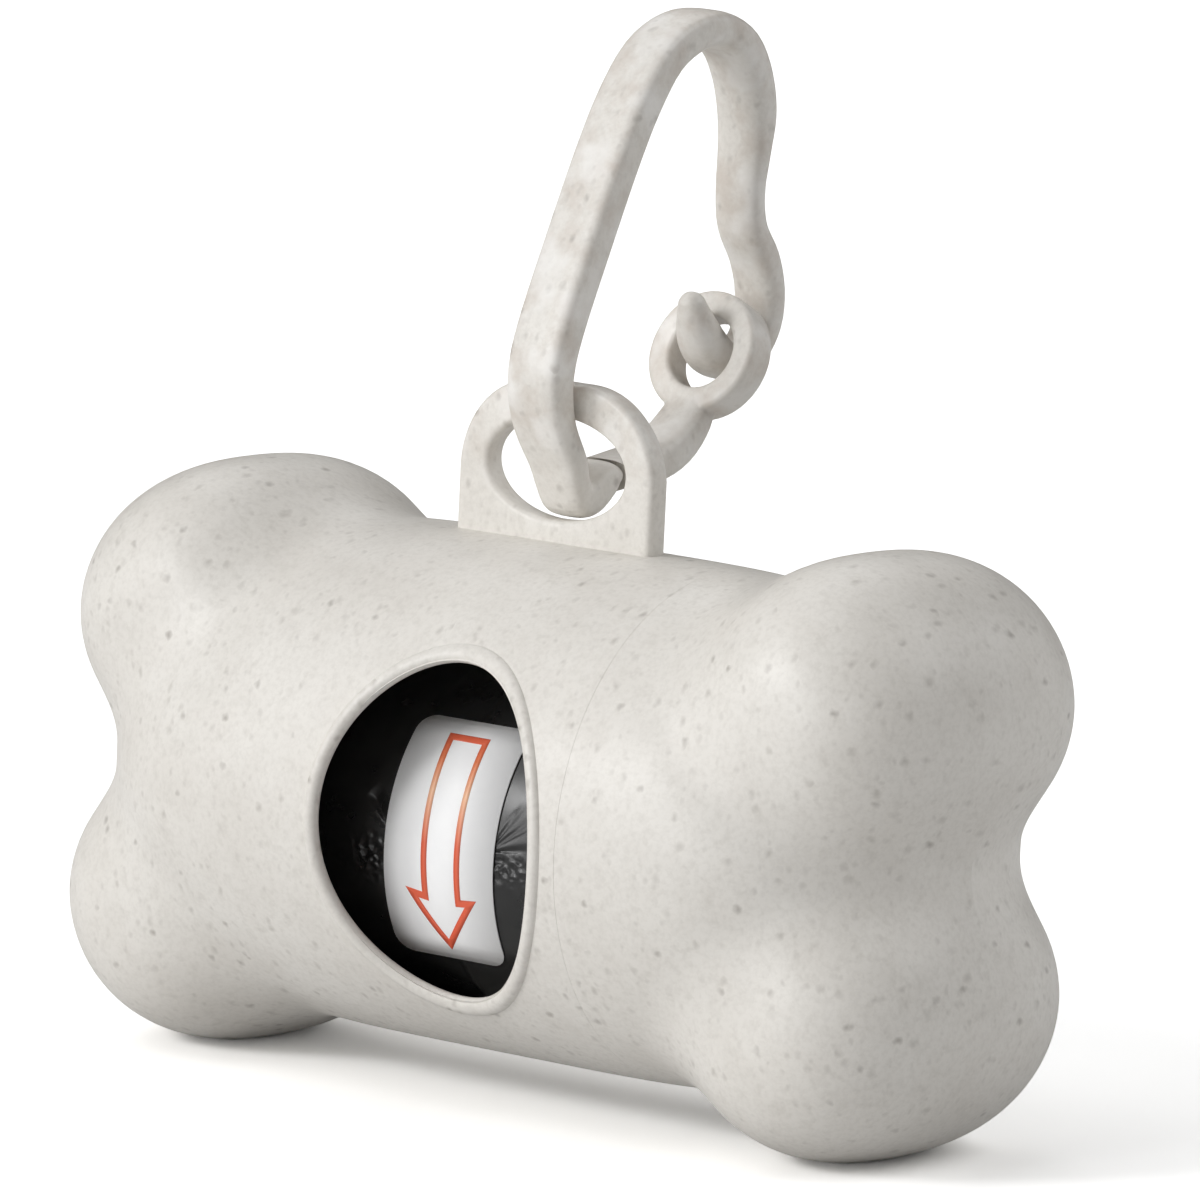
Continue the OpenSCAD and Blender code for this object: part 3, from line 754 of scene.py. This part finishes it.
def film_roll():
    """A tube spun from the roll's section, finer beside the label and at the front, then creased."""
    bm = bmesh.new()
    bmesh.ops.create_grid(bm, x_segments=1, y_segments=1, size=0.5)
    bmesh.ops.scale(bm, verts=bm.verts, vec=(2 * ROLL_HALF, ROLL_R - CORE_R, 1))
    bmesh.ops.bevel(
        bm, geom=bm.verts[:] + bm.edges[:], offset=FILM_END, segments=4, profile=0.5,
        affect="VERTICES", material=-1,
    )
    outer = max(bm.edges, key=lambda e: e.calc_length() + e.verts[0].co.y)
    bmesh.ops.subdivide_edges(bm, edges=[outer], cuts=FILM_ALONG - 1)
    bmesh.ops.delete(bm, geom=bm.faces[:], context="FACES_ONLY")
    middle, end = LABEL_MID - ROLL_AT.x, ROLL_HALF - FILM_END
    fine, near = LABEL_HALF - 0.2 * MM, LABEL_HALF + 5 * MM
    cells = [-end + 2 * end * k / FILM_ALONG for k in (0, 28, 80, 100, 152, FILM_ALONG)]
    places = [-end, middle - near, middle - fine, middle + fine, middle + near, end]
    for vert in bm.verts:
        if abs(vert.co.x) < end:
            vert.co.x = np.interp(vert.co.x, cells, places)
    bmesh.ops.translate(bm, verts=bm.verts, vec=(0, (ROLL_R + CORE_R) / 2, 0))
    bmesh.ops.spin(
        bm, geom=bm.verts[:] + bm.edges[:], cent=(0, 0, 0), axis=(1, 0, 0),
        angle=math.tau, steps=FILM_ROUND, use_merge=True,
    )
    bmesh.ops.remove_doubles(bm, verts=bm.verts, dist=1e-7)
    for vert in bm.verts:
        out, turn = math.hypot(vert.co.y, vert.co.z), math.atan2(vert.co.z, -vert.co.y)
        turn -= FRONT_CROWD * math.sin(turn)
        if out > ROLL_R - CREASE_SKIN:
            out -= film_crease(vert.co.x - middle, turn)
        vert.co.y, vert.co.z = -out * math.cos(turn), out * math.sin(turn)
    bmesh.ops.recalc_face_normals(bm, faces=bm.faces)
    bmesh.ops.translate(bm, verts=bm.verts, vec=ROLL_AT)
    return finish_mesh(bm, "film", 50)


film = film_roll()
film.data.materials.append(bag_film())
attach(film, "roll")
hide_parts("bag_roll")

# The card core is a plain brown card tube, wound from a strip, that the bags are rolled on. It
# shows only at the roll's ends.
def core_card():
    mat = bpy.data.materials.new("core card")
    mat.use_nodes = True
    nodes, links = mat.node_tree.nodes, mat.node_tree.links
    skin = nodes["Principled BSDF"]
    where = nodes.new("ShaderNodeTexCoord").outputs["Object"]
    pulp = ramp_of(nodes, links, noise_of(nodes, links, where, 900, 4, 0.65), 0.3, 0.7)
    brown = mix_of(nodes, links, pulp, (0.36, 0.25, 0.15, 1), (0.50, 0.37, 0.24, 1))
    links.new(brown, skin.inputs["Base Color"])
    skin.inputs["Roughness"].default_value = 0.85
    bump = nodes.new("ShaderNodeBump")
    bump.inputs["Strength"].default_value = 0.3
    bump.inputs["Distance"].default_value = 0.05 * MM
    links.new(pulp, bump.inputs["Height"])
    links.new(bump.outputs["Normal"], skin.inputs["Normal"])
    return mat


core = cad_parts["roll_core"]
core.data.materials.clear()
core.data.materials.append(core_card())

# The paper label is a white sticker with rounded corners, stuck round the front of a new roll
# so that the film can't unwind.
LABEL_R = ROLL_R + 0.06 * MM
LABEL_TOP = math.radians(45)
LABEL_FOOT = math.radians(-34)
LABEL_CORNER = 1.5 * MM
LABEL_STEPS = 40
PAPER = 0.1 * MM


def wrap(bm, radius):
    """Bends a flat sheet round the front of the roll: x is along the roll, y up it, and z its lift."""
    for vert in bm.verts:
        x, rise, lift = vert.co
        turn = rise / LABEL_R
        far = radius + lift
        vert.co = Vector((x, ROLL_AT.y - far * math.cos(turn), ROLL_AT.z + far * math.sin(turn)))


def paper_sheet():
    bm = bmesh.new()
    high, low = LABEL_R * LABEL_TOP, LABEL_R * LABEL_FOOT
    bmesh.ops.create_grid(bm, x_segments=1, y_segments=1, size=0.5)
    bmesh.ops.scale(bm, verts=bm.verts, vec=(2 * LABEL_HALF, high - low, 1))
    bmesh.ops.bevel(
        bm, geom=bm.verts[:] + bm.edges[:], offset=LABEL_CORNER, segments=6, profile=0.5,
        affect="VERTICES", material=-1,
    )
    bmesh.ops.translate(bm, verts=bm.verts, vec=(LABEL_MID, (high + low) / 2, 0))
    for k in range(1, LABEL_STEPS):
        bmesh.ops.bisect_plane(
            bm, geom=bm.verts[:] + bm.edges[:] + bm.faces[:],
            plane_co=(0, low + (high - low) * k / LABEL_STEPS, 0), plane_no=(0, 1, 0),
        )
    wrap(bm, LABEL_R)
    return finish_mesh(bm, "label", 60)


def label_paper():
    mat = bpy.data.materials.new("label paper")
    mat.use_nodes = True
    nodes, links = mat.node_tree.nodes, mat.node_tree.links
    skin = nodes["Principled BSDF"]
    where = nodes.new("ShaderNodeTexCoord").outputs["Object"]
    pulp = ramp_of(nodes, links, noise_of(nodes, links, where, 600, 4, 0.6), 0.3, 0.7)
    white = mix_of(nodes, links, pulp, (0.93, 0.93, 0.935, 1), (0.96, 0.96, 0.96, 1))
    links.new(white, skin.inputs["Base Color"])
    skin.inputs["Roughness"].default_value = 0.5
    return mat


label = paper_sheet()
thick = label.modifiers.new("thickness", "SOLIDIFY")
thick.thickness, thick.offset = PAPER, 0
label.data.materials.append(label_paper())
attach(label, "roll")
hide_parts("roll_label")

# The arrow on the label shows which way the bags pull. It is a plain outline, printed in orange
# ink, with a painted highlight: a pale band about three quarters of the way up the curved label.
ARROW_STROKE = 0.57 * MM
ARROW_LIFT = 0.06 * MM
INK = 0.02 * MM
INK_FOOT = -7.5 * MM
INK_TOP = 9.5 * MM

# Its corners: x from the label's middle in mm, and the angle up the roll in degrees
ARROW = (
    (-2.3, 39.5), (1.7, 39.5), (1.85, -12), (3.4, -11.5), (-0.1, -30.4), (-3.6, -10.6), (-1.95, -11.5),
)


def arrow_ink_and_highlight():
    mat = bpy.data.materials.new("arrow ink and painted highlight")
    mat.use_nodes = True
    nodes, links = mat.node_tree.nodes, mat.node_tree.links
    skin = nodes["Principled BSDF"]
    where = nodes.new("ShaderNodeTexCoord").outputs["Object"]
    split = nodes.new("ShaderNodeSeparateXYZ")
    links.new(where, split.inputs["Vector"])
    # This ramp up the roll gives the ink's own orange at both ends and a painted highlight in a pale band between them.
    pale = nodes.new("ShaderNodeValToRGB")
    height = nodes.new("ShaderNodeMapRange")
    height.inputs["From Min"].default_value = ROLL_AT.z + INK_FOOT
    height.inputs["From Max"].default_value = ROLL_AT.z + INK_TOP
    links.new(split.outputs["Z"], height.inputs["Value"])
    links.new(height.outputs["Result"], pale.inputs["Fac"])
    stops = pale.color_ramp.elements
    stops[0].position, stops[0].color = 0.0, (0.75, 0.115, 0.055, 1)
    stops[1].position, stops[1].color = 1.0, (0.74, 0.10, 0.050, 1)
    # Painted highlight: these middle stops make the pale band across the ink.
    painted_highlight_band = ((0.50, (0.76, 0.14, 0.07, 1)), (0.73, (0.88, 0.52, 0.33, 1)), (0.88, (0.78, 0.20, 0.08, 1)))
    for spot, colour in painted_highlight_band:
        stop = stops.new(spot)
        stop.color = colour
    links.new(pale.outputs["Color"], skin.inputs["Base Color"])
    skin.inputs["Roughness"].default_value = 0.45
    return mat


def arrow_print():
    """A flat arrow whose middle is taken out again inside the stroke, bent round the label."""
    bm = bmesh.new()
    corners = bmesh.ops.create_circle(bm, cap_ends=True, segments=len(ARROW), radius=1)["verts"]
    for vert, (x, angle) in zip(corners, ARROW):
        vert.co = (x * MM, LABEL_R * math.radians(angle), 0)
    bm.normal_update()
    inner = bm.faces[:]
    bmesh.ops.inset_region(bm, faces=inner, thickness=ARROW_STROKE, use_even_offset=True, use_boundary=True)
    bmesh.ops.delete(bm, geom=inner, context="FACES_ONLY")
    for k in range(-30, 40):
        bmesh.ops.bisect_plane(
            bm, geom=bm.verts[:] + bm.edges[:] + bm.faces[:],
            plane_co=(0, LABEL_R * math.radians(k), 0), plane_no=(0, 1, 0),
        )
    wrap(bm, LABEL_R + ARROW_LIFT)
    bmesh.ops.recalc_face_normals(bm, faces=bm.faces)
    return finish_mesh(bm, "arrow", 60)


arrow = arrow_print()
skin_of_ink = arrow.modifiers.new("thickness", "SOLIDIFY")
skin_of_ink.thickness, skin_of_ink.offset = INK, 0
arrow.data.materials.append(arrow_ink_and_highlight())
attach(arrow, "roll")

# The studio is a wide white table under broad soft lamps, strongest from the left front, and
# the camera stands where the photograph was taken.
TABLE_TONE = (0.75, 0.75, 0.75, 1)
TABLE_SEEN = (1.68, 1.68, 1.68, 1)

bm = bmesh.new()
bmesh.ops.create_grid(bm, x_segments=1, y_segments=1, size=3)
floor = finish_mesh(bm, "floor")
sweep = bpy.data.materials.new("white table")
sweep.use_nodes = True
nodes, links = sweep.node_tree.nodes, sweep.node_tree.links
nodes.remove(nodes["Principled BSDF"])
paper = nodes.new("ShaderNodeBsdfDiffuse")
links.new(paper.outputs["BSDF"], nodes["Material Output"].inputs["Surface"])
path = nodes.new("ShaderNodeLightPath")
links.new(mix_of(nodes, links, path.outputs["Is Camera Ray"], TABLE_TONE, TABLE_SEEN), paper.inputs["Color"])
floor.data.materials.append(sweep)

world = bpy.data.worlds.new("studio")
bpy.context.scene.world = world
world.use_nodes = True
nodes, links = world.node_tree.nodes, world.node_tree.links
sky = nodes["Background"]
path = nodes.new("ShaderNodeLightPath")
sky.inputs["Color"].default_value = (1, 1, 1, 1)
links.new(path.outputs["Is Camera Ray"], sky.inputs["Strength"])

AZIMUTH = math.radians(38.828)

# Each lamp: degrees to the right of the camera, degrees up, how wide it looks in degrees, strength
LAMPS = (
    (-65, 28, 16, 0.91), (-45, 28, 16, 0.19), (-45, 8, 16, 0.43), (-65, 8, 16, 0.25), (-85, 8, 16, 0.22),
    (-85, 28, 16, 0.17), (-85, 48, 16, 0.18), (-105, 48, 16, 0.11), (-25, 8, 16, 0.12), (0, 12, 16, 0.24),
    (-90, 75, 40, 0.34), (90, 45, 40, 0.85), (180, 45, 40, 0.41), (120, 15, 40, 0.35), (60, 15, 40, 0.05),
    (-140, 50, 40, 0.12), (-120, 15, 40, 0.09),
)
for aside, rise, wide, strength in LAMPS:
    data = bpy.data.lights.new("soft lamp", "SUN")
    data.angle, data.energy = math.radians(wide), strength
    lamp = bpy.data.objects.new("soft lamp", data)
    bpy.context.scene.collection.objects.link(lamp)
    turn, rise = AZIMUTH + math.radians(aside), math.radians(rise)
    toward = Vector((math.sin(turn) * math.cos(rise), -math.cos(turn) * math.cos(rise), math.sin(rise)))
    lamp.rotation_euler = toward.to_track_quat("Z", "Y").to_euler()

ELEVATION = math.radians(8.337)
ROLL = math.radians(2.668)
DISTANCE = 838.644 * MM
AIM = Vector((2.815, 0, 15.91)) * MM
FOCUS_PIXELS = 10939.304
PHOTO_PIXELS = 1200

away = Vector((
    math.sin(AZIMUTH) * math.cos(ELEVATION), -math.cos(AZIMUTH) * math.cos(ELEVATION), math.sin(ELEVATION),
))
level_right = Vector((math.cos(AZIMUTH), math.sin(AZIMUTH), 0))
level_up = away.cross(level_right)
right = level_right * math.cos(ROLL) + level_up * math.sin(ROLL)
up = level_up * math.cos(ROLL) - level_right * math.sin(ROLL)
lens = bpy.data.cameras.new("camera")
lens.sensor_width = 36
lens.lens = FOCUS_PIXELS / PHOTO_PIXELS * lens.sensor_width
lens.clip_start, lens.clip_end = 0.01, 20
camera = bpy.data.objects.new("camera", lens)
bpy.context.scene.collection.objects.link(camera)
spot = AXIS + AIM + away * DISTANCE
camera.matrix_world = Matrix((
    (right.x, up.x, away.x, spot.x), (right.y, up.y, away.y, spot.y), (right.z, up.z, away.z, spot.z), (0, 0, 0, 1),
))
bpy.context.scene.camera = camera
bpy.context.scene.view_settings.view_transform = "Standard"
